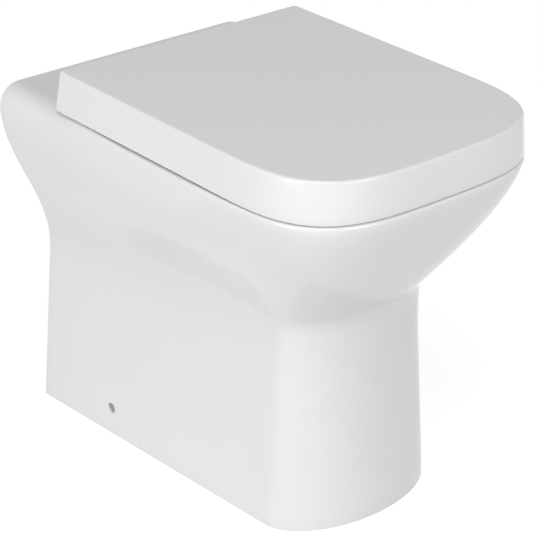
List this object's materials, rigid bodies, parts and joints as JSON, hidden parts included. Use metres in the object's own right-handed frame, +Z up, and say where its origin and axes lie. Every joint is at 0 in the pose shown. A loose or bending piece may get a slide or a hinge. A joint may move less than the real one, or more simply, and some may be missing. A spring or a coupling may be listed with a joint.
{
  "type": "toilet",
  "caption": "Back to wall toilet with a shrouded china pan, flat deck, soft-close hinged seat, wrap-over lid, rear outlet, flush inlet and concealed floor fixings.",
  "frame": {"origin": "on the floor under the middle of the outline", "axes": "+Z up, +Y towards the wall that the pan stands against, +X across to the right as seen by someone facing the wall"},
  "size_m": [0.354, 0.54, 0.463],
  "materials": {
    "china": "white glazed vitreous china, glossy and opaque",
    "duroplast": "white moulded urea resin, glossy",
    "chrome": "polished chrome plate",
    "steel": "plain stainless steel",
    "zinc_plate": "bent sheet, bright zinc plated",
    "rubber": "dark moulded rubber",
    "nylon": "natural nylon, satin",
    "cap_plastic": "mid grey moulded plastic, satin gloss"
  },
  "bodies": {
    "pan": {"pan": "china", "flush_collar": "china", "hinge_arm_left": "chrome", "hinge_arm_right": "chrome", "hinge_plates": "chrome", "hinge_studs": "steel", "expansion_plugs": "rubber", "expansion_nuts": "steel", "seat_damper_spindle": "chrome", "lid_damper_spindle": "chrome", "seat_hinge_pin": "chrome", "lid_hinge_pin": "chrome", "floor_bracket_left": "zinc_plate", "floor_bracket_right": "zinc_plate", "bracket_inserts": "nylon", "side_sleeves": "nylon", "side_screws": "steel", "side_caps": "cap_plastic"},
    "seat": {"seat_ring": "duroplast", "seat_damper_body": "steel", "seat_hinge_bush": "nylon", "seat_buffers": "rubber"},
    "lid": {"lid": "duroplast", "lid_damper_body": "steel", "lid_hinge_bush": "nylon", "lid_buffers": "rubber"}
  },
  "joints": [
    {"name": "seat_hinge", "type": "hinge", "parent": "pan", "child": "seat", "pos_m": [0, 0.1525, 0.446], "axis": [-1, 0, 0], "range_deg": [0, 92]},
    {"name": "lid_hinge", "type": "hinge", "parent": "seat", "child": "lid", "pos_m": [0, 0.1525, 0.446], "axis": [-1, 0, 0], "range_deg": [0, 93]}
  ]
}
